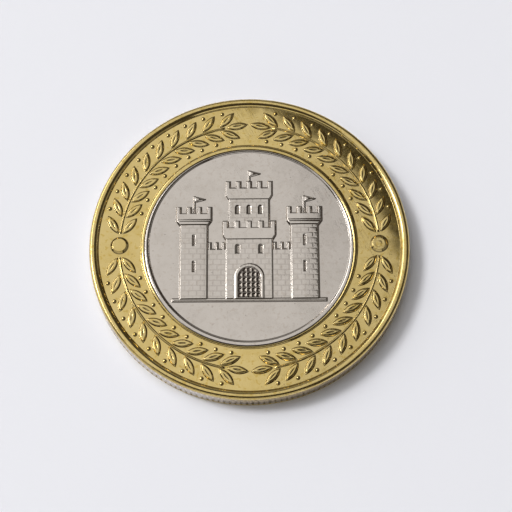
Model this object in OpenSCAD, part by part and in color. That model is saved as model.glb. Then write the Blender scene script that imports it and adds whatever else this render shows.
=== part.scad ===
// Two-tone game token: a nickel-coloured core pressed into a three-layer ring,
// which has a reeded nickel-coloured middle between two brass faces.
// The token lies on its reverse, and the top of its design points to +Y.

/* [Token] */
// Diameter over the edge
token_d = 25; // [24:0.1:29]
// Thickness over both rims
token_t = 2; // [1.8:0.05:2.6]

/* [Rims] */
// Width of each raised rim
rim_w = 0.72; // [0.68:0.02:0.9]
// Height of a rim above its field
rim_h = 0.26; // [0.26:0.01:0.34]
// Share of a rim's width that its rounded inner side takes
rim_side_share = 0.5; // [0.4:0.02:0.56]
// Radius of a rim's outer corner
rim_corner_r = 0.26; // [0.1:0.02:0.3]

/* [Core and border] */
// Width of the ring, from the core to the edge
ring_w = 4.35; // [3.9:0.05:5]
// How far the pressed core sits below the middle of the struck design
core_shift = 0.15; // [0:0.01:0.2]
// Width of the raised border that covers the joint
border_w = 0.66; // [0.5:0.02:0.74]
// Height of the border above the fields
border_h = 0.12; // [0.08:0.02:0.2]
// Width of the locking groove round the core's edge
lock_w = 0.3; // [0.2:0.02:0.4]

/* [Ring layers] */
// Thickness of each brass face under its field
face_t = 0.3; // [0.2:0.02:0.36]
// Height of brass that shows on the edge
lip_h = 0.36; // [0.3:0.02:0.5]
// Width of the flat shoulder behind each rim
shoulder_w = 0.3; // [0.2:0.02:0.36]
// Width of the slope up to that shoulder
shoulder_slope_w = 0.18; // [0.1:0.02:0.24]

/* [Reeded edge] */
// Number of reeds round the edge
reeds = 180; // [120:4:200]
// Depth of the grooves between the reeds
reed_depth = 0.08; // [0.06:0.01:0.1]
// Share of the reed pitch that a groove takes
reed_groove_share = 0.42; // [0.36:0.02:0.7]

/* [Dots] */
// Diameter of a dot at the field
dot_d = 1.38; // [1:0.02:1.6]
// Diameter of a dot's flat top
dot_top_d = 1.02; // [0.6:0.02:1.1]
// Height of a dot
dot_h = 0.16; // [0.08:0.01:0.22]

/* [Laurel] */
// Length of a leaf
leaf_l = 1.7; // [1.2:0.05:1.9]
// Width of a leaf
leaf_w = 0.62; // [0.4:0.02:0.7]
// Height of a leaf's flat top above the field
leaf_h = 0.12; // [0.1:0.01:0.15]
// Height at which the slopes round a leaf would meet
leaf_ridge_h = 0.22; // [0.18:0.01:0.3]
// Distance between pairs of leaves along their branch
leaf_pitch = 1.4; // [1.3:0.05:1.8]
// Angle between a leaf and its branch
leaf_angle = 35; // [30:1:40]
// Gap between a leaf's foot and the stem
leaf_gap = 0.08; // [0.02:0.01:0.12]
// Width of the stem
stem_w = 0.16; // [0.1:0.02:0.24]
// Diameter of a berry
berry_d = 0.3; // [0.2:0.02:0.32]
// Distance from the leaves' tips out to the berries
berry_gap = 0.12; // [0.1:0.01:0.3]
// Gap left at both ends of a branch
branch_gap = 0.3; // [0.2:0.05:0.5]

/* [Castle] */
// Gap between the castle's lowest corners and the border
castle_gap = 0.2; // [0.1:0.05:0.6]
// Angle below the middle at which those corners lie
castle_angle = 38; // [35:1:42]
// Height of the towers' parapets above the field
parapet_rise = 0.25; // [0.22:0.01:0.25]
// Height of the towers' fronts above the field
tower_rise = 0.21; // [0.16:0.01:0.24]
// How far the middle of a tower's front stands out over its sides
tower_round = 0.04; // [0.02:0.01:0.1]
// Height of the keep behind the gatehouse above the field
keep_rise = 0.13; // [0.11:0.01:0.16]
// Height of the gatehouse above the field
gatehouse_rise = 0.18; // [0.17:0.01:0.2]
// Height of the arch round the gate above the field
arch_rise = 0.21; // [0.18:0.01:0.24]
// Height of the side walls above the field
wall_rise = 0.1; // [0.06:0.01:0.12]
// Height of the portcullis above the field
portcullis_rise = 0.09; // [0.06:0.01:0.12]
// Height of the bottom of the gate and of the windows above the field
recess_rise = 0.04; // [0.02:0.01:0.05]
// Height of the ground line above the field
ground_rise = 0.15; // [0.1:0.01:0.2]
// Height of the flags above the field
flag_rise = 0.1; // [0.06:0.01:0.14]
// Merlons on each tower
tower_merlons = 4; // [3:1:5]
// Merlons on the keep
keep_merlons = 5; // [3:1:6]
// Merlons on the gatehouse
gatehouse_merlons = 5; // [3:1:7]
// Merlons on each side wall
wall_merlons = 3; // [2:1:4]
// Upright bars of the portcullis
portcullis_bars = 4; // [2:1:6]
// Cross bars of the portcullis
portcullis_rails = 5; // [3:1:7]

/* [Hidden] */

nickel = [0.75, 0.72, 0.69];
brass = [0.80, 0.70, 0.45];

// Cuts and roots run this far past the faces they cross
overrun = 0.1;
// Share of the way from one leaf's tip to the next at which a berry sits
berry_lead_share = 0.4;
// Steps in each rounded part of a rim
corner_steps = 6;
// Facets of a small and of a large circle in the interpreter's own mesh
curve_fn = 96;
wide_fn = 360;

token_r = token_d / 2;
core_r = token_r - ring_w;
rim_in_r = token_r - rim_w;
// A rim's inner side is an arc of this radius, which runs level into its flat crest
rim_side_w = rim_w * rim_side_share;
rim_side_r = sag_r(2 * rim_side_w, rim_h);
border_out_r = core_r + border_w / 2;
border_in_r = core_r - border_w / 2;
band_r = (border_out_r + rim_in_r) / 2;
// Levels: the two fields, the brass faces' backs and the shoulders behind the rims
field_z = token_t - rim_h;
low_field_z = rim_h;
back_z = field_z - face_t;
low_back_z = token_t - back_z;
shoulder_z = token_t - lip_h;
low_shoulder_z = lip_h;
// The border is a bead of this radius, sunk until border_h of it stands out
border_r = sag_r(border_w, border_h);
border_z = field_z + border_h - border_r;

// Angle in degrees that an arc of the band's middle takes
function band_angle(arc) = arc / band_r * 180 / PI;
// Radius of the circle with this chord and rise
function sag_r(chord, rise) = (chord * chord / 4 + rise * rise) / (2 * rise);
function arc_points(centre, r, from, to) =
    [for (i = [0 : corner_steps])
        let (a = from + (to - from) * i / corner_steps)
        centre + r * [cos(a), sin(a)]];

// Puts its children where the pressed core is
module at_core() {
    translate([0, -core_shift, 0]) children();
}

module core_cylinder() {
    at_core() cylinder(r = core_r, h = token_t, $fn = wide_fn);
}

// The ring that locks core and ring together at mid-thickness
module lock_bead() {
    at_core()
        translate([0, 0, token_t / 2])
            rotate_extrude($fn = wide_fn)
                translate([core_r, 0])
                    circle(d = lock_w, $fn = curve_fn);
}

// Section of the border's bead on the obverse
module border_section() {
    translate([core_r, border_z])
        circle(r = border_r, $fn = curve_fn);
}

// Puts the obverse's parts on the reverse, over the same core
module on_reverse() {
    translate([0, 0, token_t]) mirror([0, 0, 1]) children();
}

// Core

module core_blank() {
    intersection() {
        core_cylinder();
        rotate_extrude($fn = wide_fn) {
            translate([0, low_field_z])
                square([border_out_r, field_z - low_field_z]);
            border_section();
            translate([0, token_t]) mirror([0, 1]) border_section();
        }
    }
}

module core_disc() {
    color(nickel) {
        difference() {
            core_blank();
            lock_bead();
        }
        castle();
    }
}

// Castle, drawn in shares of the length of its ground line

castle_w = 2 * (border_in_r - castle_gap) * cos(castle_angle);
castle_y = -(border_in_r - castle_gap) * sin(castle_angle);

ground_h_share = 0.025;
tower_x_share = 0.36;
tower_w_share = 0.185;
tower_h_share = 0.52;
parapet_w_share = 0.235;
corbel_h_share = 0.035;
parapet_h_share = 0.055;
merlon_h_share = 0.045;
slit_w_share = 0.016;
slit_h_share = 0.075;
slit_y_shares = [0.2, 0.38];
pole_w_share = 0.012;
pole_h_share = 0.12;
pennon_l_share = 0.085;
pennon_h_share = 0.045;
keep_w_share = 0.27;
keep_h_share = 0.70;
keep_parapet_w_share = 0.31;
keep_window_y_share = 0.6;
gatehouse_w_share = 0.31;
gatehouse_h_share = 0.42;
gatehouse_parapet_w_share = 0.35;
gate_w_share = 0.15;
gate_spring_share = 0.16;
arch_w_share = 0.025;
window_w_share = 0.032;
window_h_share = 0.05;
window_x_share = 0.075;
window_y_share = 0.325;
wall_h_share = 0.35;
bar_w_share = 0.012;

tower_x = castle_w * tower_x_share;
tower_w = castle_w * tower_w_share;
tower_h = castle_w * tower_h_share;
parapet_w = castle_w * parapet_w_share;
corbel_h = castle_w * corbel_h_share;
parapet_h = castle_w * parapet_h_share;
merlon_h = castle_w * merlon_h_share;
ground_h = castle_w * ground_h_share;
keep_w = castle_w * keep_w_share;
keep_h = castle_w * keep_h_share;
keep_parapet_w = castle_w * keep_parapet_w_share;
gatehouse_w = castle_w * gatehouse_w_share;
gatehouse_h = castle_w * gatehouse_h_share;
gatehouse_parapet_w = castle_w * gatehouse_parapet_w_share;
gate_w = castle_w * gate_w_share;
gate_spring = castle_w * gate_spring_share;
arch_w = castle_w * arch_w_share;
wall_h = castle_w * wall_h_share;
bar_w = castle_w * bar_w_share;
slit_w = castle_w * slit_w_share;
slit_h = castle_w * slit_h_share;
pole_w = castle_w * pole_w_share;
pole_h = castle_w * pole_h_share;
pennon_l = castle_w * pennon_l_share;
pennon_h = castle_w * pennon_h_share;
window_w = castle_w * window_w_share;
window_h = castle_w * window_h_share;
// Height of a parapet's top above the foot of its corbels
parapet_top_h = corbel_h + parapet_h;

// Raises a flat shape from inside the core to this height above the field
module raised(rise) {
    translate([0, 0, field_z - overrun])
        linear_extrude(overrun + rise) children();
}

// Cuts a flat shape down to the recesses' level
module recessed() {
    translate([0, 0, field_z + recess_rise])
        linear_extrude(token_t) children();
}

// Upright rectangle that stands on y and is centred on x = 0
module upright(w, h, y = 0) {
    translate([-w / 2, y]) square([w, h]);
}

// Row of merlons that stands on y
module merlons(w, count, y) {
    merlon_w = w / (2 * count - 1);
    for (i = [0 : count - 1])
        translate([-w / 2 + 2 * i * merlon_w, y - overrun])
            square([merlon_w, merlon_h + overrun]);
}

// Battlement that spreads from base_w on corbels to top_w, with its merlons
module battlement(base_w, top_w, count, y) {
    merlon_w = top_w / (2 * count - 1);
    top_y = y + parapet_top_h;
    polygon(concat(
        [[-top_w / 2, y + corbel_h], [-base_w / 2, y], [base_w / 2, y], [top_w / 2, y + corbel_h]],
        [for (i = [0 : count - 1], corner = [[0, 0], [0, merlon_h], [merlon_w, merlon_h], [merlon_w, 0]])
            [top_w / 2 - 2 * i * merlon_w - corner.x, top_y + corner.y]]));
}

// Opening with a round head
module round_headed(w, spring, y = 0) {
    upright(w, spring, y);
    translate([0, y + spring]) circle(d = w, $fn = curve_fn);
}

// Rounds a raised shape off like the front of a round tower
module barrelled(w, rise) {
    barrel_r = sag_r(w, tower_round);
    intersection() {
        raised(rise + overrun) children();
        translate([0, 0, field_z + rise - barrel_r])
            rotate([-90, 0, 0])
                cylinder(r = barrel_r, h = castle_w, $fn = wide_fn);
    }
}

module tower() {
    difference() {
        union() {
            barrelled(tower_w, tower_rise)
                upright(tower_w, tower_h + corbel_h, ground_h / 2);
            barrelled(parapet_w, parapet_rise)
                battlement(tower_w, parapet_w, tower_merlons, tower_h);
        }
        recessed()
            for (share = slit_y_shares)
                upright(slit_w, slit_h, castle_w * share);
    }
}

// Flag whose pole stands on y
module flag(y) {
    raised(flag_rise)
        translate([0, y]) {
            upright(pole_w, pole_h + overrun, -overrun);
            polygon([[0, pole_h], [pennon_l, pole_h - pennon_h / 2], [0, pole_h - pennon_h]]);
        }
}

// Row of windows with their sills at y, at these steps from the middle
module windows(places, y) {
    for (place = places)
        translate([place * castle_w * window_x_share, y])
            round_headed(window_w, window_h);
}

module keep() {
    difference() {
        raised(keep_rise) {
            upright(keep_w, keep_h + corbel_h - gatehouse_h, gatehouse_h);
            battlement(keep_w, keep_parapet_w, keep_merlons, keep_h);
        }
        recessed() windows([-1, 0, 1], castle_w * keep_window_y_share);
    }
}

module gatehouse() {
    difference() {
        union() {
            raised(gatehouse_rise) {
                upright(gatehouse_w, gatehouse_h + corbel_h, ground_h / 2);
                battlement(gatehouse_w, gatehouse_parapet_w, gatehouse_merlons, gatehouse_h);
            }
            raised(arch_rise)
                round_headed(gate_w + 2 * arch_w, gate_spring - ground_h / 2, ground_h / 2);
        }
        recessed() {
            round_headed(gate_w, gate_spring - ground_h, ground_h);
            windows([-1, 1], castle_w * window_y_share);
        }
    }
}

module portcullis() {
    raised(portcullis_rise)
        intersection() {
            round_headed(gate_w + bar_w, gate_spring - ground_h / 2, ground_h / 2);
            union() {
                for (i = [1 : portcullis_bars])
                    translate([gate_w * (i / (portcullis_bars + 1) - 1 / 2), 0])
                        upright(bar_w, gate_spring + gate_w);
                for (i = [1 : portcullis_rails])
                    upright(gate_w + 2 * bar_w, bar_w,
                        ground_h + (gate_spring + gate_w / 2 - ground_h) * i / (portcullis_rails + 1));
            }
        }
}

module side_wall() {
    wall_w = tower_x - tower_w / 2 - gatehouse_w / 2;
    translate([(gatehouse_w + wall_w) / 2, 0])
        raised(wall_rise) {
            upright(wall_w + 2 * overrun, wall_h, ground_h / 2);
            merlons(wall_w, wall_merlons, wall_h + ground_h / 2);
        }
}

module castle() {
    translate([0, castle_y, 0]) {
        raised(ground_rise) upright(castle_w, ground_h);
        keep();
        flag(keep_h + parapet_top_h);
        gatehouse();
        portcullis();
        for (side = [-1, 1])
            translate([side * tower_x, 0, 0]) {
                tower();
                flag(tower_h + parapet_top_h);
            }
        for (flip = [0, 1])
            mirror([flip, 0, 0]) side_wall();
    }
}

// Ring

// Outline of the edge, with a reed on each axis
module reeded_outline() {
    pitch = PI * token_d / reeds;
    groove_r = sag_r(pitch * reed_groove_share, reed_depth);
    difference() {
        circle(r = token_r, $fn = 2 * reeds);
        for (i = [0 : reeds - 1])
            rotate((i + 1 / 2) * 360 / reeds)
                translate([token_r - reed_depth + groove_r, 0])
                    circle(r = groove_r, $fn = curve_fn / 4);
    }
}

// Section of the middle layer, with the shoulders that back the rims
module middle_section() {
    polygon([
        [border_in_r, low_back_z],
        [token_r - shoulder_w - shoulder_slope_w, low_back_z],
        [token_r - shoulder_w, low_shoulder_z],
        [token_r + overrun, low_shoulder_z],
        [token_r + overrun, shoulder_z],
        [token_r - shoulder_w, shoulder_z],
        [token_r - shoulder_w - shoulder_slope_w, back_z],
        [border_in_r, back_z]]);
}

module reeded_ring() {
    color(nickel)
        intersection() {
            union() {
                difference() {
                    rotate_extrude($fn = wide_fn) middle_section();
                    core_cylinder();
                }
                lock_bead();
            }
            linear_extrude(token_t) reeded_outline();
        }
}

// Section of a brass face: field, rim rounded on both sides and lip over the shoulder
module face_section() {
    polygon(concat(
        [[border_in_r, back_z], [border_in_r, field_z]],
        arc_points([rim_in_r + rim_side_w, token_t - rim_side_r], rim_side_r,
            atan2(rim_side_r - rim_h, -rim_side_w), 90),
        arc_points([token_r - rim_corner_r, token_t - rim_corner_r], rim_corner_r, 90, 0),
        [[token_r, shoulder_z], [token_r - shoulder_w, shoulder_z],
            [token_r - shoulder_w - shoulder_slope_w, back_z]]));
    intersection() {
        border_section();
        translate([border_in_r, back_z]) square([border_w, token_t]);
    }
}

module brass_face() {
    difference() {
        rotate_extrude($fn = wide_fn) face_section();
        core_cylinder();
    }
    for (side = [-1, 1])
        translate([side * band_r, 0, field_z - overrun])
            dot();
    for (flip_x = [0, 1], flip_y = [0, 1])
        mirror([flip_x, 0, 0]) mirror([0, flip_y, 0]) branch();
}

module dot() {
    cylinder(d = dot_d, h = overrun, $fn = curve_fn);
    translate([0, 0, overrun])
        cylinder(d1 = dot_d, d2 = dot_top_d, h = dot_h, $fn = curve_fn);
}

// Leaf along +Y with its foot at the origin: two balls meet in a lens, which is cut off flat
module leaf() {
    outline_r = sag_r(leaf_l, leaf_w / 2);
    ball_x = outline_r - leaf_w / 2;
    ball_z = (leaf_l * leaf_l / 4 - leaf_ridge_h * leaf_ridge_h) / (2 * leaf_ridge_h);
    ball_r = norm([outline_r, ball_z]);
    translate([0, leaf_l / 2, 0])
        intersection() {
            intersection_for(turn = [0, 180])
                rotate(turn)
                    translate([ball_x, 0, -ball_z])
                        sphere(r = ball_r, $fn = curve_fn);
            translate([-leaf_w, -leaf_l, -overrun])
                cube([2 * leaf_w, 2 * leaf_l, overrun + leaf_h]);
        }
}

// Branch from beside the right dot up to the top
module branch() {
    from = band_angle(dot_d / 2 + branch_gap);
    stem_l = (90 - from) * PI / 180 * band_r - branch_gap / 2 - leaf_l;
    pairs = floor(stem_l / leaf_pitch) + 1;
    foot = stem_w / 2 + leaf_gap;
    tip_x = foot + leaf_l * sin(leaf_angle);
    tip_y = leaf_l * cos(leaf_angle);
    translate([0, 0, field_z]) {
        rotate(from)
            rotate_extrude(angle = band_angle(stem_l), $fn = wide_fn)
                translate([band_r, 0]) circle(d = stem_w, $fn = curve_fn / 4);
        rotate(from + band_angle(stem_l + leaf_gap))
            translate([band_r, 0, 0]) leaf();
        for (i = [0 : pairs - 1], side = [-1, 1])
            rotate(from + band_angle(i * leaf_pitch))
                translate([band_r + side * foot, 0, 0])
                    rotate(-side * leaf_angle) leaf();
        for (i = [0 : pairs - 2], side = [-1, 1])
            rotate(from + band_angle((i + berry_lead_share) * leaf_pitch)
                + atan2(tip_y, band_r + side * tip_x))
                translate([band_r + side * (tip_x + berry_gap), 0, 0])
                    sphere(d = berry_d, $fn = curve_fn / 4);
    }
}

module obverse_face() {
    color(brass) brass_face();
}

module reverse_face() {
    color(brass) on_reverse() brass_face();
}

core_disc();
reeded_ring();
obverse_face();
reverse_face();
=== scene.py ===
# Two-tone game token: its struck relief, reeded edge and worn metals.
# Lengths are in millimetres until a mesh is made. The top of the design points to +Y.
import math

import bpy
import numpy as np
from mathutils import Matrix, Vector
from mathutils.geometry import delaunay_2d_cdt


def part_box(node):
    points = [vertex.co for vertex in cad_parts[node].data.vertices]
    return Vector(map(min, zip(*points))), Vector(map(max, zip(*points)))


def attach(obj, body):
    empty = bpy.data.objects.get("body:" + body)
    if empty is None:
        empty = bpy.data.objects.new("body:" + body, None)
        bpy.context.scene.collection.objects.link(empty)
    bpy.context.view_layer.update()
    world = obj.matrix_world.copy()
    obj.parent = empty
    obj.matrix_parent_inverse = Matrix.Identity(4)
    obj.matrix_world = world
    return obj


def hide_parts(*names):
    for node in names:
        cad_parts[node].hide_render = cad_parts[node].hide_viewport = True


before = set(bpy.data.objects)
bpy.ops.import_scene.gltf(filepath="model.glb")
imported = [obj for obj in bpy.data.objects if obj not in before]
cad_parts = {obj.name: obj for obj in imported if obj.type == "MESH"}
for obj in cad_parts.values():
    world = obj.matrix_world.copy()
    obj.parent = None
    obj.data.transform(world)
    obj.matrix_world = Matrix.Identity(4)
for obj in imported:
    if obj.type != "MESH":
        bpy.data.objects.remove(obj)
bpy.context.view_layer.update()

MM = 0.001


def node_box(node):
    """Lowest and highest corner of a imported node."""
    return [np.round(np.array(corner) / MM, 2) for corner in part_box(node)]


core_low, core_high = node_box("core_disc")
ring_high = node_box("reeded_ring")[1]
face_low, face_high = node_box("obverse_face")

# Main sizes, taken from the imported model
token_r = ring_high[0]
token_t = face_high[2]
lip_z = ring_high[2]
back_z = face_low[2]
core_r = (core_high[0] - core_low[0]) / 2
core_y = (core_high[1] + core_low[1]) / 2

# Raised rim: a ridge rounded down to the field inside and to the lip outside
rim_h = 0.26
rim_foot_r = token_r - 0.72
rim_crest_r = token_r - 0.24
rim_side_power = 3.5
rim_corner_h = 0.28
rim_steps = 14
lip_round = 0.02
field_z = token_t - rim_h
# Where the ring's field starts to fall towards the rim, and how far it falls
dish_r = 9.6
dish_h = 0.028

# Border bead over the joint of core and ring
border_w = 0.66
border_h = 0.12
border_side_power = 5
border_rows = 14
joint_groove_w = 0.06
joint_groove_h = 0.03

# Middle layer and its reeds
shoulder_w = 0.3
shoulder_slope_w = 0.18
reeds = 180
reed_depth = 0.055
reed_groove_share = 0.42
reed_end_round = 0.03
# Grime and painted shade in the flutes where the reeds end at the lips
reed_end_grime_and_shade = 0.3
columns_per_reed = 14

# Ornament on the ring's band
dot_r = 0.69
dot_top_r = 0.53
dot_flat_r = 0.4
dot_ring_r = 0.27
dot_ring_w = 0.1
dot_ring_h = 0.0025
dot_h = 0.16
dot_edge_round = 0.05
dot_segments = 96
leaf_l = 1.7
leaf_w = 0.62
leaf_edge_h = 0.111
leaf_top_h = 0.12
leaf_vein_h = 0.105
leaf_pitch = 1.4
leaf_angle = math.radians(35)
leaf_gap = 0.08
leaf_side_points = 12
# Grime and painted shade in the crease of the leaf's vein
leaf_vein_grime_and_shade = 0.5
stem_w = 0.16
stem_h = 0.08
stem_step = 0.07
stem_row_shares = (-1, -0.85, -0.5, 0, 0.5, 0.85, 1)
berry_r = 0.15
berry_h = 0.1
berry_gap = 0.12
berry_lead_share = 0.4
berry_row_shares = (0.1, 0.3, 0.5, 0.7)
berry_segments = 20
branch_gap = 0.3
# Flat strip round each raised shape, and how far its fillet runs out on it
apron = 0.03
fillet_reach = 0.012

# Castle on the core: its gap to the border, and the length and place of its ground line
castle_gap = 0.2
castle_angle = math.radians(38)
castle_reach = core_r - border_w / 2 - castle_gap
castle_w = 2 * castle_reach * math.cos(castle_angle)
castle_y = -castle_reach * math.sin(castle_angle)
# Parts of the castle, in shares of the length of its ground line
ground_h_share = 0.025
tower_x_share = 0.36
tower_w_share = 0.185
tower_h_share = 0.52
tower_parapet_w_share = 0.235
corbel_h_share = 0.035
parapet_h_share = 0.055
merlon_h_share = 0.045
tower_merlons = 4
keep_merlons = 5
gatehouse_merlons = 5
wall_merlons = 3
slit_w_share = 0.018
slit_h_share = 0.075
slit_y_shares = (0.2, 0.38)
pole_w_share = 0.016
pole_h_share = 0.12
pennon_l_share = 0.085
pennon_h_share = 0.045
keep_w_share = 0.27
keep_h_share = 0.70
keep_parapet_w_share = 0.31
keep_window_y_share = 0.6
gatehouse_w_share = 0.31
gatehouse_h_share = 0.42
gatehouse_parapet_w_share = 0.35
gate_w_share = 0.15
gate_spring_share = 0.16
arch_w_share = 0.025
arch_stones = 12
arch_joint_share = 1 / 6
window_w_share = 0.032
window_h_share = 0.05
window_x_share = 0.075
window_y_share = 0.325
wall_h_share = 0.35
bar_w_share = 0.012
gate_columns = 5
gate_rows = 6
course_h_share = 0.036
stone_w_share = 0.052
stone_joint_share = 0.007
# Heights of the castle's parts above the field, and the width of the slope round each
tower_rise = 0.21
tower_round = 0.03
parapet_rise = 0.25
gatehouse_rise = 0.18
arch_rise = 0.21
keep_rise = 0.13
wall_rise = 0.1
ground_rise = 0.15
flag_rise = 0.1
portcullis_rise = 0.1
gate_rise = 0.05
window_rise = 0.09
moulding_h = 0.02
stone_joint_h = 0.003
joint_tone = 0.25
castle_draft = 0.085
# Grid that the castle is drawn on, and the steps of height that gather grime and painted shade, or wear
castle_grid = 0.038
castle_margin_cells = 4
castle_apron_cells = 2
castle_least_h = 0.001
castle_blur_passes = 6
castle_mark_h = 0.05

# Rings of the core's plain back, in shares of its radius
core_back_shares = (0.7, 0.4, 0.1)

# Depths of the marks in the metal and of the paper's fibres
grain_h = 0.00006
scratch_h = 0.0004
turning_h = 0.0012
drag_h = 0.001
fibre_h = 0.01
# Side of the edge that gets a brown painted shade, where it faces the paper in the token's shadow, and
# where that shade starts and is full
painted_shade_side = (0.77, -0.64, 0)
painted_shade_reach = (4.2, 8.2)
# Sets of scratches: direction, width, length, share of the surface
scratch_sets = [(0.5, 0.11, 2.9, 0.02), (-0.9, 0.12, 3.3, 0.015), (2.2, 0.1, 2.5, 0.015)]

columns = 900
turns = np.arange(columns) * 2 * math.pi / columns


# Outlines and sections

def sag_r(chord, rise):
    """Radius of the circle with this chord and rise."""
    return (chord * chord / 4 + rise * rise) / (2 * rise)


def smooth(low, high, value):
    """Smooth step from 0 at low to 1 at high."""
    t = np.clip((value - low) / (high - low), 0, 1)
    return t * t * (3 - 2 * t)


def rounded(corners, steps=5):
    """Points along an open outline of corners (x, y, radius), each rounded by its radius."""
    points = [np.array(corners[0][:2], float)]
    for before, corner, after in zip(corners, corners[1:], corners[2:]):
        middle = np.array(corner[:2], float)
        to_before = np.array(before[:2]) - middle
        to_after = np.array(after[:2]) - middle
        to_before /= np.linalg.norm(to_before)
        to_after /= np.linalg.norm(to_after)
        half = math.acos(np.clip(to_before @ to_after, -1, 1)) / 2
        reach = corner[2] / math.tan(half)
        for t in np.linspace(0, 1, steps):
            # Quadratic blend between the two tangent points
            points.append(middle + reach * ((1 - t) ** 2 * to_before + t ** 2 * to_after))
    points.append(np.array(corners[-1][:2], float))
    return np.array(points)


def joint_radius(angle):
    """Distance from the token's middle to the edge of the pressed core, which sits off centre."""
    along = core_y * np.sin(angle)
    return along + np.sqrt(core_r ** 2 - core_y ** 2 + along ** 2)


bead_reach = border_w / 2 + apron


def bead_height(radius):
    """Height of the border above the field: a bead with a broad top and steep sides."""
    return border_h * np.maximum(1 - np.abs(2 * (radius - core_r) / border_w) ** border_side_power, 0)


def bead_rows(start, end, rows):
    """Radii and heights of the border between two circles, one row of columns each."""
    share = (1 - np.cos(np.linspace(0, math.pi, rows)))[:, None] / 2
    radius = start + (end - start) * share
    off_joint = np.abs(radius - joint_radius(turns))
    groove = joint_groove_h * smooth(joint_groove_w, 0, off_joint)
    return radius, field_z + bead_height(radius) - groove


def bead_grime_and_shade(height):
    """Grime and painted shade along the border's feet."""
    return smooth(border_h / 3, 0, height - field_z) * (height > field_z)


def bead_wear(height):
    """Wear along the border's crest."""
    return smooth(border_h * 2 / 3, border_h, height - field_z)


# Meshes

class Piece:
    """Points and faces of one piece, with the grime, the painted shade and the wear that each point gets.
    """

    def __init__(self):
        self.points = np.zeros((0, 3))
        self.grime_and_shade = np.zeros(0)
        self.wear = np.zeros(0)
        self.faces = []

    def add(self, points, grime_and_shade=0, wear=0):
        """Adds an array of points and returns their numbers in the array's own shape."""
        shape = points.shape[:-1]
        first = len(self.points)
        self.points = np.concatenate([self.points, points.reshape(-1, 3)])
        self.grime_and_shade = np.concatenate([self.grime_and_shade, np.broadcast_to(grime_and_shade, shape).ravel()])
        self.wear = np.concatenate([self.wear, np.broadcast_to(wear, shape).ravel()])
        return np.arange(first, len(self.points)).reshape(shape)

    def skin(self, rows, closed=True):
        """Covers a grid of point numbers with quads; closed joins the last column to the first."""
        if closed:
            rows = np.concatenate([rows, rows[:, :1]], axis=1)
        quads = np.stack([rows[:-1, :-1], rows[1:, :-1], rows[1:, 1:], rows[:-1, 1:]], axis=-1)
        self.faces += quads.reshape(-1, 4).tolist()

    def cap(self, ring, tip):
        """Closes a ring of point numbers with triangles to one point inside it."""
        self.faces += [[a, b, tip] for a, b in zip(ring.tolist(), np.roll(ring, -1).tolist())]

    def fill(self, edges, outer):
        """Fills the flat area inside the outer edges, pairs of point numbers, less its islands."""
        numbers, flat_edges = np.unique(np.concatenate([outer, edges]), return_inverse=True)
        flat_edges = flat_edges.reshape(-1, 2).tolist()
        flat = [Vector(point) for point in self.points[numbers, :2].tolist()]
        inside_only = 1
        tolerance = 1e-6
        _, _, faces, origins, _, _ = delaunay_2d_cdt(flat, flat_edges, [], inside_only, tolerance)
        own = [int(numbers[origin[0]]) for origin in origins]
        triangles = [[own[corner] for corner in face] for face in faces]

        # Spread from the outer edges until the islands' edges stop it
        neighbours = {}
        for triangle in triangles:
            for side in triangle_sides(triangle):
                neighbours.setdefault(side, []).append(triangle)
        walls = {frozenset(pair) for pair in np.concatenate([outer, edges]).tolist()}
        waiting = [neighbours[frozenset(pair)][0] for pair in outer.tolist()]
        reached = {tuple(triangle) for triangle in waiting}
        while waiting:
            for side in triangle_sides(waiting.pop()):
                for triangle in neighbours[side]:
                    if side not in walls and tuple(triangle) not in reached:
                        reached.add(tuple(triangle))
                        waiting.append(triangle)
        self.faces += sorted(list(triangle) for triangle in reached)

    def flipped(self):
        """The same piece on the other side of the token."""
        other = Piece()
        other.points = self.points * [1, 1, -1] + [0, 0, token_t]
        other.grime_and_shade, other.wear = self.grime_and_shade, self.wear
        other.faces = [face[::-1] for face in self.faces]
        return other

    def make(self, name, node, slot, material):
        """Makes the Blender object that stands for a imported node."""
        mesh = bpy.data.meshes.new(name)
        mesh.from_pydata((self.points * MM).tolist(), [], self.faces)
        for label, values in (("grime_and_shade", self.grime_and_shade), ("wear", self.wear)):
            mesh.attributes.new(label, "FLOAT", "POINT").data.foreach_set("value", values)
        mesh.polygons.foreach_set("use_smooth", [True] * len(mesh.polygons))
        mesh.update()
        obj = bpy.data.objects.new(name, mesh)
        bpy.context.scene.collection.objects.link(obj)
        mesh.materials.append(material)
        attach(obj, "root")
        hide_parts(node)


def triangle_sides(triangle):
    """The three sides of a triangle, as unordered pairs."""
    return [frozenset(pair) for pair in zip(triangle, triangle[1:] + triangle[:1])]


def around(radius, height, angle=turns):
    """Points at these radii and heights round the token's axis."""
    radius, height, angle = np.broadcast_arrays(radius, height, angle)
    return np.stack([radius * np.cos(angle), radius * np.sin(angle), height], axis=-1)


def loop_edges(loop):
    """Pairs of neighbours round a closed loop of point numbers."""
    return np.stack([loop, np.roll(loop, -1)], axis=-1)


# Ornament of the ring

def dome(piece, centre, section, segments):
    """Round boss on the field; its section has (radius, height, grime and painted shade, wear) from the
    apron inwards.
    """
    angle = np.arange(segments) * 2 * math.pi / segments
    radius, height, grime_and_shade, wear = (np.array(part)[:, None] for part in zip(*section))
    rows = around(radius[:-1], field_z + height[:-1], angle)
    rows[..., :2] += centre
    numbers = piece.add(rows, grime_and_shade[:-1], wear[:-1])
    tip = piece.add(np.array([[*centre, field_z + height[-1, 0]]]), grime_and_shade[-1], wear[-1])
    piece.skin(numbers[::-1])
    piece.cap(numbers[-1], int(tip[0]))
    return loop_edges(numbers[0])


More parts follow.
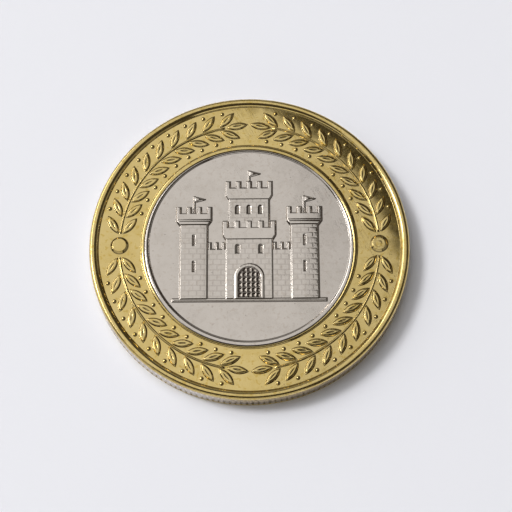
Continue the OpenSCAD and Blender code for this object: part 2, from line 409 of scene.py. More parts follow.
def dot(piece, centre):
    """Flat-topped dot with a faint ring on it."""
    outline = rounded([
        (dot_r + 2 * apron, 0, 0),
        (dot_r, 0, apron),
        (dot_top_r, dot_h, dot_edge_round),
        (dot_flat_r, dot_h, 0)])
    outline = np.concatenate([outline, [
        [dot_ring_r + dot_ring_w / 2, dot_h],
        [dot_ring_r, dot_h - dot_ring_h],
        [dot_ring_r - dot_ring_w / 2, dot_h],
        [0, dot_h]]])
    section = []
    for radius, height in outline:
        # Grime and painted shade round the dot's foot
        grime_and_shade = smooth(dot_h / 2, 0, height) * (radius < dot_r + apron / 2)
        wear = smooth(dot_h / 2, dot_h, height) * (radius > 0)
        section.append((radius, height, grime_and_shade, wear))
    return dome(piece, centre, section, dot_segments)


def berry(piece, centre):
    """Half-round berry."""
    # Grime and painted shade round the berry's foot, fading up its side
    section = [(berry_r + apron, 0, 0, 0), (berry_r + fillet_reach, 0, 1, 0)]
    for share in berry_row_shares:
        turn = share * math.pi / 2
        section.append((berry_r * math.cos(turn), berry_h * math.sin(turn), 1 - share * 2, share))
    section.append((0, berry_h, 0, 1))
    return dome(piece, centre, section, berry_segments)


def leaf_outline(inset):
    """Outline of a leaf drawn in by inset, anticlockwise from its foot, lying along +Y from the origin."""
    outline_r = sag_r(leaf_l, leaf_w / 2)
    centre_x = outline_r - leaf_w / 2
    drawn_r = outline_r - inset
    half = math.acos(centre_x / drawn_r)
    angle = np.linspace(-half, half, leaf_side_points, endpoint=False)
    side = np.stack([drawn_r * np.cos(angle) - centre_x, drawn_r * np.sin(angle)], axis=-1)
    return np.concatenate([side, -side]) + [0, leaf_l / 2]


# Rings of a leaf from its apron to its vein: inset from the outline, height, grime and painted shade, wear
leaf_rings = [
    (-apron, 0, 0, 0),
    (-fillet_reach, 0, 0.6, 0),
    (0, 0.012, 1, 0),
    (0.025, 0.045, 0.5, 0),
    (0.05, 0.082, 0, 0.3),
    (0.066, 0.1, 0, 0.8),
    (0.082, 0.108, 0, 1),
    (0.105, leaf_edge_h, 0, 0.5),
    (0.19, 0.117, 0, 0.1),
    (0.24, leaf_top_h, 0, 0.2),
    (0.265, 0.11, 0.4, 0)]


def leaf(piece, place):
    """Leaf put in place by a function of its own points."""
    rings = []
    for inset, height, grime_and_shade, wear in leaf_rings:
        flat = place(leaf_outline(inset))
        level = np.full(len(flat), field_z + height)
        rings.append(piece.add(np.column_stack([flat, level]), grime_and_shade, wear))
    vein = place(np.array([[0, leaf_l / 2]]))
    tip = piece.add(np.column_stack([vein, [field_z + leaf_vein_h]]), leaf_vein_grime_and_shade)
    piece.skin(np.array(rings)[::-1])
    piece.cap(rings[-1], int(tip[0]))
    return loop_edges(rings[0])


def stem(piece, place, length):
    """Half-round stem of a branch, put in place by a function of its own points."""
    across = np.array(stem_row_shares) * stem_w / 2
    across = np.concatenate([[-stem_w / 2 - apron], across, [stem_w / 2 + apron]])
    steps = round(length / stem_step)
    along = np.concatenate([[-apron], np.linspace(0, length, steps), [length + apron]])
    u, v = np.meshgrid(across, along)
    ends = smooth(0, stem_w, v) * smooth(length, length - stem_w, v)
    height = stem_h * np.sqrt(np.maximum(1 - (2 * u / stem_w) ** 2, 0)) * ends
    flat = place(np.stack([u, v], axis=-1))
    # Grime and painted shade along the stem's feet
    grime_and_shade = np.isclose(np.abs(u), stem_w / 2) * 1.0
    points = np.concatenate([flat, (field_z + height)[..., None]], axis=-1)
    numbers = piece.add(points, grime_and_shade, ends * (u == 0))
    piece.skin(numbers[::-1], closed=False)
    border = np.concatenate([numbers[0, :-1], numbers[:-1, -1], numbers[-1, :0:-1], numbers[:0:-1, 0]])
    return loop_edges(border)


band_r = (core_r + border_w / 2 + rim_foot_r) / 2


def branch(piece, flip_x, flip_y):
    """Laurel branch from beside a dot to the ring's top or bottom, and the edges of its shapes."""
    start = (dot_r + branch_gap) / band_r
    stem_l = (math.pi / 2 - start) * band_r - branch_gap / 2 - leaf_l
    pairs = math.floor(stem_l / leaf_pitch) + 1
    foot = stem_w / 2 + leaf_gap
    tip_x = foot + leaf_l * math.sin(leaf_angle)
    tip_y = leaf_l * math.cos(leaf_angle)
    turned = flip_x * flip_y < 0

    def on_band(lateral, arc, spin, own):
        """Puts a shape on the band: sideways, along the branch, turned by an angle."""
        own = own * [-1, 1] if turned else own
        side = own[..., 0] * math.cos(spin) - own[..., 1] * math.sin(spin) + band_r + lateral
        ahead = own[..., 0] * math.sin(spin) + own[..., 1] * math.cos(spin)
        angle = start + arc / band_r
        x = side * math.cos(angle) - ahead * math.sin(angle)
        y = side * math.sin(angle) + ahead * math.cos(angle)
        return np.stack([x * flip_x, y * flip_y], axis=-1)

    def on_arc(own):
        """Bends the straight stem round the band."""
        own = own * [-1, 1] if turned else own
        angle = start + own[..., 1] / band_r
        radius = band_r + own[..., 0]
        return np.stack([radius * np.cos(angle) * flip_x, radius * np.sin(angle) * flip_y], axis=-1)

    edges = [stem(piece, on_arc, stem_l - leaf_gap)]
    edges.append(leaf(piece, lambda own: on_band(0, stem_l + leaf_gap, 0, own)))
    for i in range(pairs):
        for side in (-1, 1):
            edges.append(leaf(piece, lambda own: on_band(
                side * foot, i * leaf_pitch, -side * leaf_angle, own)))
            if i < pairs - 1:
                angle = start + (i + berry_lead_share) * leaf_pitch / band_r
                angle += math.atan2(tip_y, band_r + side * tip_x)
                radius = band_r + side * (tip_x + berry_gap)
                centre = radius * np.array([math.cos(angle) * flip_x, math.sin(angle) * flip_y])
                edges.append(berry(piece, centre))
    return edges


# The four pieces

def brass_face():
    """Brass face of the ring, obverse side up."""
    piece = Piece()
    joint = joint_radius(turns)
    radius, height = bead_rows(joint, core_r + bead_reach, border_rows)
    bead = piece.add(around(radius, height), bead_grime_and_shade(height), bead_wear(height))

    share = np.linspace(1, 0, rim_steps)
    inner_z = token_t - rim_h * share ** rim_side_power
    inner = np.stack([rim_crest_r - (rim_crest_r - rim_foot_r) * share, inner_z], axis=-1)
    turn = np.linspace(0, math.pi / 2, rim_steps)[1:]
    outer = np.stack([rim_crest_r + (token_r - rim_crest_r) * np.sin(turn),
                      token_t - rim_corner_h * (1 - np.cos(turn))], axis=-1)
    under = rounded([
        (token_r, token_t - rim_corner_h, 0),
        (token_r, lip_z, lip_round),
        (token_r - shoulder_w, lip_z, lip_round),
        (token_r - shoulder_w - shoulder_slope_w, back_z, lip_round),
        (core_r + border_w, back_z, 0)])[1:]
    rim = np.concatenate([[[rim_foot_r - apron, field_z]], inner, outer, under])
    rim_r, rim_z = rim[:, :1], rim[:, 1:]
    # Grime and painted shade along the rim's foot, where it meets the field
    grime_and_shade = smooth(rim_h / 4, 0, rim_z - field_z) * (rim_r > rim_foot_r - apron / 2) * (rim_z >= field_z)
    rows = piece.add(around(rim_r, rim_z), grime_and_shade, smooth(field_z, token_t - rim_h / 2, rim_z))
    back = piece.add(around(joint, back_z)[None])
    piece.skin(np.concatenate([rows, back, bead]))

    edges = [loop_edges(bead[-1])]
    for side in (-1, 1):
        edges.append(dot(piece, np.array([side * band_r, 0])))
    for flip_x in (-1, 1):
        for flip_y in (-1, 1):
            edges += branch(piece, flip_x, flip_y)
    piece.fill(np.concatenate(edges), loop_edges(rows[0]))
    return piece


class CastleDrawing:
    """Heights of the castle at places x, y, in shares of its ground line from the line's middle."""

    def __init__(self, x, y):
        self.x = x
        self.y = y
        self.height = np.zeros(x.shape)
        self.shade = np.zeros(x.shape)
        self.joints = np.zeros(x.shape)

    def upright(self, centre, width, foot, top):
        """Depth inside an upright rectangle, negative outside."""
        return np.minimum(width / 2 - np.abs(self.x - centre), np.minimum(self.y - foot, top - self.y))

    def round_headed(self, centre, width, foot, spring):
        """Depth inside an opening with a round head."""
        below = np.minimum(width / 2 - np.abs(self.x - centre), self.y - foot)
        above = width / 2 - np.hypot(self.x - centre, self.y - spring)
        return np.where(self.y < spring, below, above)

    def merlons(self, centre, width, count, foot):
        """Depth inside a row of merlons that stand on a wall's head."""
        merlon_w = width / (2 * count - 1)
        places = centre - width / 2 + (2 * np.arange(count) + 1 / 2) * merlon_w
        low = foot - merlon_h_share
        high = foot + merlon_h_share
        return np.max([self.upright(place, merlon_w, low, high) for place in places], axis=0)

    def battlement(self, centre, base_w, top_w, count, foot):
        """Parapet that spreads on corbels, with its merlons."""
        up = np.clip((self.y - foot) / corbel_h_share, 0, 1)
        parapet_top = foot + corbel_h_share + parapet_h_share
        spread = (base_w + (top_w - base_w) * up) / 2 - np.abs(self.x - centre)
        parapet = np.minimum(spread, np.minimum(self.y - foot, parapet_top - self.y))
        return np.maximum(parapet, self.merlons(centre, top_w, count, parapet_top))

    def within(self, depth):
        """Goes from 0 at an outline to 1 at the head of the slope inside it."""
        return smooth(0, castle_draft / castle_w, depth)

    def raised(self, depth, rise):
        """Raises a shape to a height above the field, in front of what is lower there."""
        self.joints = np.where(rise * self.within(depth) > self.height, 0, self.joints)
        self.height = np.maximum(self.height, rise * self.within(depth))

    def sunk(self, depth, rise):
        """Sinks an opening to a height above the field, and paints shade into it."""
        self.height += (rise - self.height) * self.within(depth)
        self.shade = np.maximum(self.shade, self.within(depth))

    def barrel(self, centre, width, rise):
        """Height of a round front, whose sides lie further back than its middle."""
        return rise - tower_round * np.minimum((2 * (self.x - centre) / width) ** 2, 1)

    def stones(self, depth):
        """1 in the joints between courses of stone, away from the wall's own outline."""
        course = self.y / course_h_share
        stone = self.x / stone_w_share + np.mod(np.floor(course), 2) / 2
        to_bed = np.abs(course - np.round(course)) * course_h_share
        to_side = np.abs(stone - np.round(stone)) * stone_w_share
        joint = smooth(stone_joint_share, 0, np.minimum(to_bed, to_side))
        return joint * self.within(depth - castle_draft / castle_w)

    def wall(self, depth, rise):
        """Raises a wall of dressed stone."""
        stones = self.stones(depth)
        self.raised(depth, rise - stone_joint_h * stones)
        self.joints = np.where(depth > 0, stones, self.joints)

    def windows(self, steps, foot):
        """Row of windows at these steps from the middle."""
        spring = foot + window_h_share
        for step in steps:
            opening = self.round_headed(step * window_x_share, window_w_share, foot, spring)
            self.sunk(opening, window_rise)

    def flag(self, centre, foot):
        """Pole with a pennon that flies to the right."""
        top = foot + pole_h_share
        self.raised(self.upright(centre, pole_w_share, foot - merlon_h_share, top), flag_rise)
        fly = (self.x - centre) / pennon_l_share
        to_middle = np.abs(self.y - top + pennon_h_share / 2)
        pennon = np.minimum(pennon_h_share / 2 * (1 - fly) - to_middle, self.x - centre)
        self.raised(pennon, flag_rise + moulding_h * np.sin(fly * 2 * math.pi))

    def tower(self, centre):
        """Round tower with its battlement and its slits."""
        shaft = self.upright(centre, tower_w_share, ground_h_share / 2, tower_h_share + corbel_h_share)
        self.wall(shaft, self.barrel(centre, tower_w_share, tower_rise))
        top = self.battlement(centre, tower_w_share, tower_parapet_w_share, tower_merlons, tower_h_share)
        to_moulding = np.abs(self.y - tower_h_share - corbel_h_share)
        moulding = moulding_h * smooth(corbel_h_share / 3, 0, to_moulding)
        self.raised(top, self.barrel(centre, tower_parapet_w_share, parapet_rise) - moulding)
        for foot in slit_y_shares:
            self.sunk(self.upright(centre, slit_w_share, foot, foot + slit_h_share), window_rise)

    def keep(self):
        """Keep behind the gatehouse, with its battlement and its windows."""
        top = keep_h_share + corbel_h_share
        self.wall(self.upright(0, keep_w_share, gatehouse_h_share, top), keep_rise)
        parapet = self.battlement(0, keep_w_share, keep_parapet_w_share, keep_merlons, keep_h_share)
        self.raised(parapet, keep_rise + moulding_h)
        self.windows((-1, 0, 1), keep_window_y_share)

    def gatehouse(self):
        """Gatehouse with its battlement, its arch, its windows and its gate."""
        top = gatehouse_h_share + corbel_h_share
        self.wall(self.upright(0, gatehouse_w_share, ground_h_share / 2, top), gatehouse_rise)
        parapet = self.battlement(
            0, gatehouse_w_share, gatehouse_parapet_w_share, gatehouse_merlons, gatehouse_h_share)
        self.raised(parapet, gatehouse_rise + moulding_h)
        arch = self.round_headed(0, gate_w_share + 2 * arch_w_share, ground_h_share / 2, gate_spring_share)
        turn = np.arctan2(self.y - gate_spring_share, self.x) * arch_stones / math.pi
        joint = smooth(arch_joint_share, 0, np.abs(turn - np.round(turn))) * (self.y > gate_spring_share)
        self.raised(arch, arch_rise - 2 * stone_joint_h * joint)
        self.windows((-1, 1), window_y_share)
        self.portcullis()

    def portcullis(self):
        """Opening of the gate, with the portcullis in it."""
        gate = self.round_headed(0, gate_w_share, ground_h_share, gate_spring_share)
        gate_h = gate_spring_share + gate_w_share / 2 - ground_h_share
        column = (self.x / gate_w_share + 1 / 2) * gate_columns
        row = (self.y - ground_h_share) / gate_h * gate_rows
        to_upright = np.abs(column - np.round(column)) * gate_w_share / gate_columns
        to_crossbar = np.abs(row - np.round(row)) * gate_h / gate_rows
        bars = smooth(bar_w_share * 3 / 4, bar_w_share / 3, np.minimum(to_upright, to_crossbar))
        self.sunk(gate, gate_rise + (portcullis_rise - gate_rise) * bars)

    def side_wall(self, side):
        """Wall between the gatehouse and a tower, with its merlons."""
        inner = gatehouse_w_share / 2
        outer = tower_x_share - tower_w_share / 2
        centre = side * (inner + outer) / 2
        top = wall_h_share + ground_h_share / 2
        lap = merlon_h_share / 2
        self.wall(self.upright(centre, outer - inner + lap, ground_h_share / 2, top), wall_rise)
        self.raised(self.merlons(centre, outer - inner, wall_merlons, top), wall_rise)

    def draw(self):
        """Draws the whole castle, from its furthest parts to its nearest."""
        parapet_top = corbel_h_share + parapet_h_share
        self.flag(0, keep_h_share + parapet_top)
        self.keep()
        for side in (-1, 1):
            self.side_wall(side)
            self.flag(side * tower_x_share, tower_h_share + parapet_top)
        self.raised(self.upright(0, 1, 0, ground_h_share), ground_rise)
        self.gatehouse()
        for side in (-1, 1):
            self.tower(side * tower_x_share)


def blurred(values, passes):
    """Grid of values, averaged with its neighbours a number of times."""
    for _ in range(passes):
        padded = np.pad(values, 1, mode="edge")
        along_y = padded[:-2, 1:-1] + padded[2:, 1:-1]
        along_x = padded[1:-1, :-2] + padded[1:-1, 2:]
        values = (along_y + along_x + 4 * values) / 8
    return values


def castle(piece):
    """Castle struck on the core, and the edges between its grid and the flat field."""
    margin = castle_margin_cells * castle_grid
    castle_h = castle_w * (keep_h_share + corbel_h_share + parapet_h_share + pole_h_share)
    xs = np.arange(-castle_w / 2 - margin, castle_w / 2 + margin, castle_grid)
    ys = np.arange(-margin, castle_h + margin, castle_grid)
    x, y = np.meshgrid(xs, ys)
    drawing = CastleDrawing(x / castle_w, y / castle_w)
    drawing.draw()
    height = drawing.height

    raised = height > castle_least_h
    cell = raised[:-1, :-1] | raised[1:, :-1] | raised[:-1, 1:] | raised[1:, 1:]
    for _ in range(castle_apron_cells):
        grown = np.pad(cell, 1)
        cell = cell | grown[:-2, 1:-1] | grown[2:, 1:-1] | grown[1:-1, :-2] | grown[1:-1, 2:]
    used = np.zeros(x.shape, bool)
    for row, column in ((0, 0), (0, 1), (1, 0), (1, 1)):
        used[row:row + cell.shape[0], column:column + cell.shape[1]] |= cell

    # Hollows lower than their surroundings get grime and painted shade, openings get painted shade, and
    # stone joints a dark tone
    level = blurred(height, castle_blur_passes)
    grime_and_shade = np.maximum(np.clip((level - height) / castle_mark_h, 0, 1), drawing.shade)
    grime_and_shade = np.maximum(grime_and_shade, joint_tone * drawing.joints)
    wear = np.clip((height - level) / castle_mark_h, 0, 1)
    points = np.stack([x, y + castle_y, field_z + height], axis=-1)[used]
    numbers = np.full(x.shape, -1)
    numbers[used] = piece.add(points, grime_and_shade[used], wear[used])
    quads = np.stack([numbers[:-1, :-1], numbers[:-1, 1:], numbers[1:, 1:], numbers[1:, :-1]], axis=-1)
    piece.faces += quads[cell].tolist()

    outside = np.pad(cell, 1)
    upright = outside[1:-1, 1:] != outside[1:-1, :-1]
    level_edge = outside[1:, 1:-1] != outside[:-1, 1:-1]
    edges = [np.stack([numbers[:-1], numbers[1:]], axis=-1)[upright]]
    edges.append(np.stack([numbers[:, :-1], numbers[:, 1:]], axis=-1)[level_edge])
    return np.concatenate(edges)


def core_disc():
    """Nickel core: castle, field and border on the obverse, plain field and border on the reverse."""
    piece = Piece()
    joint = joint_radius(turns)
    radius, height = bead_rows(core_r - bead_reach, joint, border_rows)
    marks = bead_grime_and_shade(height), bead_wear(height)
    front = piece.add(around(radius, height), *marks)
    back = piece.add(around(radius, token_t - height), *marks)[::-1]
    back_field_z = token_t - field_z
    inner = [piece.add(around(share * core_r, np.array([[back_field_z]]))) for share in core_back_shares]
    piece.skin(np.concatenate([front, back, *inner]))
    tip = piece.add(np.array([[0, 0, back_field_z]]))
    piece.cap(inner[-1][0][::-1], int(tip[0]))
    piece.fill(castle(piece), loop_edges(front[0]))
    return piece


def reeded_ring():
    """Middle layer of the ring, with round flutes between its reeds."""
    piece = Piece()
    count = reeds * columns_per_reed
    angle = np.arange(count) * 2 * math.pi / count
    pitch = 2 * math.pi * token_r / reeds
    groove_r = sag_r(pitch * reed_groove_share, reed_depth)
    off_groove = (np.mod(angle * reeds / (2 * math.pi), 1) - 0.5) * pitch
    flute = np.sqrt(np.maximum(groove_r ** 2 - off_groove ** 2, 0)) - groove_r + reed_depth
    flute = np.maximum(flute, 0)
    low_lip_z = token_t - lip_z
    joint = joint_radius(angle)
    # Radius, height, and grime and painted shade of each row round the section
    rows = [
        (joint, back_z, 0),
        (token_r - shoulder_w - shoulder_slope_w, back_z, 0),
        (token_r - shoulder_w, lip_z, 0),
        (token_r - flute - reed_end_round, lip_z, reed_end_grime_and_shade),
        (token_r - flute, lip_z - reed_end_round, 0),
        (token_r - flute, low_lip_z + reed_end_round, 0),
        (token_r - flute - reed_end_round, low_lip_z, reed_end_grime_and_shade),
        (token_r - shoulder_w, low_lip_z, 0),
        (token_r - shoulder_w - shoulder_slope_w, token_t - back_z, 0),
        (joint, token_t - back_z, 0)]
    depth_share = flute / reed_depth
    numbers = []
    for radius, height, grime_and_shade in rows:
        numbers.append(piece.add(around(radius, height, angle)[None], grime_and_shade * depth_share, 1 - depth_share))
    piece.skin(np.concatenate(numbers + numbers[:1]))
    return piece


# Shaders

class Shade:
    """A socket of a shader tree; sums and products of shades add their Math nodes."""

    def __init__(self, tree, socket):
        self.tree = tree
        self.socket = socket

    def node(self, kind, settings=None, inputs=None, output=0):
        """Adds a node, sets it up, then sets or links its sockets, and gives one of its outputs."""
        node = self.tree.nodes.new("ShaderNode" + kind)
        for name, value in (settings or {}).items():
            setattr(node, name, value)
        for name, value in (inputs or {}).items():
            if isinstance(value, Shade):
                self.tree.links.new(value.socket, node.inputs[name])
            else:
                node.inputs[name].default_value = value
        return Shade(self.tree, node.outputs[output])

    def math(self, operation, *values):
        """Adds a Math node."""
        return self.node("Math", {"operation": operation}, dict(enumerate(values)))

    def __add__(self, other):
        return self.math("ADD", self, other)

    def __radd__(self, other):
        return self.math("ADD", other, self)

    def __sub__(self, other):
        return self.math("SUBTRACT", self, other)

    def __rsub__(self, other):
        return self.math("SUBTRACT", other, self)

    def __mul__(self, other):
        return self.math("MULTIPLY", self, other)

    def __rmul__(self, other):
        return self.math("MULTIPLY", other, self)

    def __abs__(self):
        return self.math("ABSOLUTE", self)

    def at_least(self, low):
        """This value, or low where it is less."""
        return self.math("MAXIMUM", self, low)

    def step(self, low, high):
        """Smooth step from 0 at low to 1 at high."""
        return self.node("MapRange", {"interpolation_type": "SMOOTHSTEP"},
                         {"Value": self, "From Min": low, "From Max": high})

    def blend(self, first, second):
        """Colour that goes from the first to the second as this value goes from 0 to 1."""
        # The node's colour sockets share their names with others, so they go by number
        return self.node("Mix", {"data_type": "RGBA"}, {0: self, 6: first, 7: second}, 2)


class Finish:
    """A material whose textures are laid out in millimetres of the token."""

    def __init__(self, name):
        self.material = bpy.data.materials.new(name)
        self.material.use_nodes = True
        self.tree = self.material.node_tree
        self.shader = self.tree.nodes["Principled BSDF"]
        self.start = Shade(self.tree, None)
        place = self.start.node("TexCoord", output="Object")
        self.place = self.start.node("VectorMath", {"operation": "SCALE"}, {0: place, "Scale": 1 / MM})

    def turned(self, angle, stretch):
        """Place on the token, turned about its axis and then drawn out along each direction."""
        return self.start.node("Mapping", {"vector_type": "TEXTURE"}, {
            "Vector": self.place, "Rotation": (0, 0, angle), "Scale": stretch})

    def noise(self, scale, detail, place=None):
        """Noise with this many waves to the millimetre and this much detail."""
        return self.start.node("TexNoise", None, {
            "Vector": place or self.place, "Scale": scale, "Detail": detail})

    def mark(self, name):
        """Value that the mesh holds at each point."""
        return self.start.node("Attribute", {"attribute_name": name}, output="Fac")

    def ray(self, kind):
        """1 for light paths of this kind."""
        return self.start.node("LightPath", output=kind)

    def scratches(self, angle, width, length, amount):
        """Fine straight scratches in one direction; amount is the share of the surface they take."""
        lines = self.noise(1.0, detail=2.0, place=self.turned(angle, (width, length, length)))
        patches = self.noise(0.35, detail=1.0, place=self.turned(angle, (1, 1, 1))).step(0.52, 0.66)
        return abs(lines - 0.5).step(amount, 0) * patches

    def from_axis(self):
        """Distance from the token's axis in millimetres."""
        flat = self.start.node("VectorMath", {"operation": "MULTIPLY"}, {0: self.place, 1: (1, 1, 0)})
        return self.start.node("VectorMath", {"operation": "LENGTH"}, {0: flat}, "Value")

    def from_middle(self):
        """Distance from the plane half way through the token in millimetres."""
        return abs(self.start.node("SeparateXYZ", None, {"Vector": self.place}, "Z") - token_t / 2)

    def towards(self, direction):
        """Distance from the token's axis in one direction in millimetres."""
        return self.start.node(
            "VectorMath", {"operation": "DOT_PRODUCT"}, {0: self.place, 1: direction}, "Value")

    def rings(self, from_axis, scale):
        """Fine turning marks round the token's axis."""
        return self.start.node("TexNoise", {"noise_dimensions": "1D"}, {
            "W": from_axis, "Scale": scale, "Detail": 2.0})

    def bump(self, height, depth, normal=None):
        """Normal of a surface whose height varies by depth millimetres."""
        inputs = {"Height": height, "Distance": depth * MM, "Strength": 1.0}
        if normal:
            inputs["Normal"] = normal
        return self.start.node("Bump", None, inputs)

    def link(self, **inputs):
        """Links shades to the shader's sockets; a socket's name has _ for a space."""
        for name, value in inputs.items():
            socket = self.shader.inputs[name.replace("_", " ").title()]
            if isinstance(value, Shade):
                self.tree.links.new(value.socket, socket)
            else:
                socket.default_value = value


def struck_metal(name, bright, dull, tarnish, stain_and_shade, waviness):
    """Struck metal with mottled tone, stains, painted shade at the feet of the relief and in its hollows,
    scratches, fine grain and a turned rim.
    """
    finish = Finish(name)
    mottle = finish.noise(0.55, detail=4.0).step(0.38, 0.68)
    clouds = finish.noise(2.2, detail=3.0).step(0.45, 0.75)
    spots = finish.noise(2.9, detail=2.0).step(0.57, 0.68)
    specks = finish.noise(5.0, detail=2.0).step(0.70, 0.78)
    waves = finish.noise(0.7, detail=1.0)
    grain = finish.noise(22.0, detail=2.0)
    first, second, third = (finish.scratches(*marks) for marks in scratch_sets)
    scratches = first + second + third
    grime_and_shade = finish.mark("grime_and_shade")
    wear = finish.mark("wear")
    from_axis = finish.from_axis()
    on_rim = from_axis.step(rim_foot_r, rim_crest_r)
    turning = finish.rings(from_axis, 9.0) * on_rim
    field_off_middle = field_z - token_t / 2
    on_field = finish.from_middle().step(field_off_middle + apron, field_off_middle)
    into_dish = (from_axis - dish_r).at_least(0) * on_field

    colour = (mottle * 0.45 + clouds * 0.3).blend(bright, dull)
    colour = (spots * 0.6).blend(colour, tarnish)
    # Real specks, and the grime and painted shade at the feet of the relief and in its hollows, darken the
    # metal towards its darkest colour
    colour = (specks * 0.45 + grime_and_shade * 0.75).blend(colour, stain_and_shade)
    roughness = 0.07 + mottle * 0.02 + clouds * 0.02 + specks * 0.12
    roughness = roughness + scratches * 0.06 + grime_and_shade * 0.06 + wear * 0.03 + on_rim * 0.05
    dents = finish.bump(0 - into_dish * into_dish, dish_h / (rim_foot_r - dish_r) ** 2)
    dents = finish.bump(waves, waviness, dents)
    dents = finish.bump(grain, grain_h, dents)
    dents = finish.bump(1 - scratches, scratch_h, dents)
    dents = finish.bump(turning, turning_h, dents)
    finish.link(base_color=colour, roughness=roughness, metallic=1.0, normal=dents)
    return finish.material


def reeded_metal(name, bright, dull, tarnish, stain_and_shade):
    """Satin metal of the edge, with grime and painted shade in the flutes at the reeds' ends, reed tops
    darker than their flutes, and a brown painted shade on the side that faces the paper in the token's
    shadow.
    """
    finish = Finish(name)
    mottle = finish.noise(0.8, detail=4.0).step(0.35, 0.7)
    specks = finish.noise(4.0, detail=3.0).step(0.66, 0.78)
    drag = finish.noise(1.0, detail=3.0, place=finish.turned(0, (0.12, 0.12, 3.0)))
    grime_and_shade = finish.mark("grime_and_shade")
    wear = finish.mark("wear")
    in_painted_shade = finish.towards(painted_shade_side).step(*painted_shade_reach)
    colour = (mottle * 0.2 + wear * 0.8).blend(bright, dull)
    # Brown painted shade on the side of the edge that faces the paper in the token's shadow; the tarnish
    # colour is that shade
    colour = (in_painted_shade * 0.85).blend(colour, tarnish)
    # Real specks, and the grime and painted shade at the reeds' ends, darken the edge towards its darkest
    # colour
    colour = (grime_and_shade * 0.6 + specks * 0.3).blend(colour, stain_and_shade)
    roughness = 0.24 + mottle * 0.08 + grime_and_shade * 0.2 + wear * 0.08 + drag * 0.06
    finish.link(base_color=colour, roughness=roughness, metallic=1.0, normal=finish.bump(drag, drag_h))
    return finish.material


# The paper's darkest and palest tone, the colour of its glow,
# and the share of its brightness that doesn't fall into shade
paper_dark = (0.834, 0.84, 0.892, 1)
paper_pale = (0.846, 0.852, 0.904, 1)
paper_glow_colour = (0.80, 0.805, 0.85, 1)
paper_glow = 0.02


def paper_floor(name):
    """Pale matt paper under the token."""
    finish = Finish(name)
    fibres = finish.noise(3.0, detail=5.0)
    tone = finish.noise(0.02, detail=2.0)
    colour = (tone * 0.5 + fibres * 0.1).blend(paper_dark, paper_pale)
    seen = finish.ray("Is Camera Ray") + finish.ray("Is Glossy Ray") + finish.ray("Is Transmission Ray")
    glow = (seen * paper_glow).blend((0, 0, 0, 1), paper_glow_colour)
    finish.link(base_color=colour, roughness=0.5 + fibres * 0.1, normal=finish.bump(fibres, fibre_h))
    finish.link(emission_color=glow, emission_strength=1.0)
    return finish.material


# Pieces and their materials

brass = struck_metal(
    "struck_brass", bright=(0.715, 0.555, 0.235, 1), dull=(0.65, 0.48, 0.16, 1),
    tarnish=(0.58, 0.4, 0.085, 1), stain_and_shade=(0.17, 0.125, 0.06, 1), waviness=0.006)
nickel = struck_metal(
    "struck_nickel", bright=(0.63, 0.578, 0.527, 1), dull=(0.565, 0.515, 0.463, 1),
    tarnish=(0.55, 0.49, 0.43, 1), stain_and_shade=(0.17, 0.145, 0.12, 1), waviness=0.002)
# The edge's tarnish colour is the brown painted shade on the side that faces the paper in the token's
# shadow
edge_nickel = reeded_metal(
    "edge_nickel", bright=(0.84, 0.785, 0.73, 1), dull=(0.6, 0.55, 0.5, 1),
    tarnish=(0.32, 0.24, 0.13, 1), stain_and_shade=(0.2, 0.165, 0.12, 1))

face = brass_face()
face.make("obverse_brass", "obverse_face", "brass_face", brass)
face.flipped().make("reverse_brass", "reverse_face", "brass_face", brass)
core_disc().make("struck_core", "core_disc", "nickel_core", nickel)
reeded_ring().make("reeded_middle", "reeded_ring", "nickel_edge", edge_nickel)

# Floor; lengths from here on are in metres

floor_r = 6.0
floor_sides = 96
bpy.ops.mesh.primitive_circle_add(vertices=floor_sides, radius=floor_r, fill_type="NGON")
floor = bpy.context.object
floor.name = "floor"
floor.data.materials.append(paper_floor("pale_paper"))

# Light: a key at the upper left with its screen and wing, panels overhead that are cut off on a slant,
# low panels on all sides, and a fill above

def softbox(name, centre, width, depth, radiance, aim=(0, 0, 0), spin=0):
    """Square-cornered panel that is seen at this brightness."""
    lamp = bpy.data.lights.new(name, "AREA")
    lamp.shape = "RECTANGLE"
    lamp.size = width
    lamp.size_y = depth
    lamp.energy = radiance * math.pi * width * depth
    obj = bpy.data.objects.new(name, lamp)
    bpy.context.scene.collection.objects.link(obj)
    ahead = (Vector(aim) - Vector(centre)).normalized()
    turn = ahead.to_track_quat("-Z", "Y").to_matrix().to_4x4()
    obj.matrix_world = Matrix.Translation(centre) @ turn @ Matrix.Rotation(spin, 4, "Z")
    return obj


def seen_at(azimuth, elevation, distance):
    """Place at these angles in degrees and this distance from the token."""
    azimuth = math.radians(azimuth)
    elevation = math.radians(elevation)
    level = math.cos(elevation)
    return distance * Vector((math.cos(azimuth) * level, math.sin(azimuth) * level, math.sin(elevation)))


key_azimuth = 160
key_elevation = 53
key_distance = 4.0
key_size = 0.95
screen_distance = 3.96
key_place = seen_at(key_azimuth, key_elevation, key_distance)
key = softbox("softbox_key", key_place, key_size, key_size, radiance=15.3)
# The bare lamp would burn out each glint, so the metal shows the dimmer screen in front of it
key.visible_glossy = False
screen_place = seen_at(key_azimuth, key_elevation, screen_distance)
softbox("softbox_key_screen", screen_place, key_size, key_size, radiance=12)
# Wing beside the key, which draws its glints on round the rim and the border
wing_place = seen_at(azimuth=134, elevation=45, distance=key_distance)
softbox("softbox_key_wing", wing_place, width=1.5, depth=0.55, radiance=5)

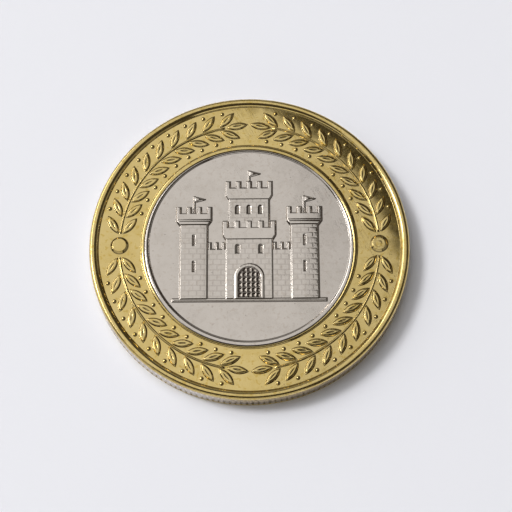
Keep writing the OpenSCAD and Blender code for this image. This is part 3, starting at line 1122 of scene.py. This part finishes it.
# Overhead panels that lie over one another, so that their light falls off towards the right.
# Each has its height, a slant, its ends across and along the slant in shares of its height,
# and its brightness.
slant = math.radians(38)
top_panels = [
    ("softbox_top", 1.8, slant, (-1.2, 0.331), (0.112, 1.6), 0.67),
    ("softbox_top_middle", 1.75, slant, (-1.2, 0.27), (0.112, 1.6), 0.03),
    ("softbox_top_left", 1.7, 0, (-1.2, 0.023), (0.1, 1.6), 0.1)]
for name, top_h, turn, across, along, radiance in top_panels:
    middle = Vector((sum(across) / 2 * top_h, sum(along) / 2 * top_h, top_h))
    middle = Matrix.Rotation(turn, 3, "Z") @ middle
    width = (across[1] - across[0]) * top_h
    depth = (along[1] - along[0]) * top_h
    softbox(name, middle, width, depth, radiance, (middle.x, middle.y, 0), turn)

# Low panels: place, width, depth and brightness of each
low_panels = [
    ("softbox_left", (-2.3, 0.84, 0.9), 2.8, 1.7, 0.95),
    ("softbox_back", (-0.3, 2.3, 0.9), 3.2, 1.7, 0.22),
    ("softbox_right", (2.5, -0.45, 0.7), 4.6, 1.3, 0.2),
    ("softbox_corner", (-1.7, -1.5, 0.9), 1.6, 0.9, 0.55),
    ("softbox_front", (0, -2.2, 0.84), 2.4, 0.9, 0.7)]
for name, centre, width, depth, radiance in low_panels:
    softbox(name, centre, width, depth, radiance)
# Light from above that softens the shadow on the paper; the metal shows the panels instead of it
above_fill = softbox("softbox_above", (-0.5, 0.35, 2.4), width=1.6, depth=1.6, radiance=1.5)
above_fill.visible_glossy = False

room_colour = (0.06, 0.053, 0.042, 1)
world = bpy.data.worlds.new("room")
world.use_nodes = True
world.node_tree.nodes["Background"].inputs["Color"].default_value = room_colour
bpy.context.scene.world = world

# Camera at the photograph's angle

image_px = 512
sensor = 36.0
elevation = math.radians(69.63)
azimuth = math.radians(1.75)
roll = math.radians(2.1)
# Distance from the middle of the rim's plane, and the token's radius and that middle in the picture
distance = 10 * token_r * MM
radius_px = 160.5
middle_px = (249.17, 243.52)

target = Vector((0, 0, token_t * MM))
back = Vector((
    math.sin(azimuth) * math.cos(elevation),
    -math.cos(azimuth) * math.cos(elevation),
    math.sin(elevation)))
level = Vector((math.cos(azimuth), math.sin(azimuth), 0))
above = back.cross(level)
right = level * math.cos(roll) - above * math.sin(roll)
up = level * math.sin(roll) + above * math.cos(roll)

lens_data = bpy.data.cameras.new("camera")
lens_data.sensor_width = sensor
lens_data.lens = sensor * radius_px * distance / (token_r * MM) / image_px
lens_data.shift_x = (image_px / 2 - middle_px[0]) / image_px
lens_data.shift_y = (middle_px[1] - image_px / 2) / image_px
lens_data.clip_start = 0.01
camera = bpy.data.objects.new("camera", lens_data)
bpy.context.scene.collection.objects.link(camera)
turn = Matrix((right, up, back)).transposed().to_4x4()
camera.matrix_world = Matrix.Translation(target + back * distance) @ turn
bpy.context.scene.camera = camera

bpy.context.scene.view_settings.view_transform = "Standard"

bpy.context.view_layer.update()
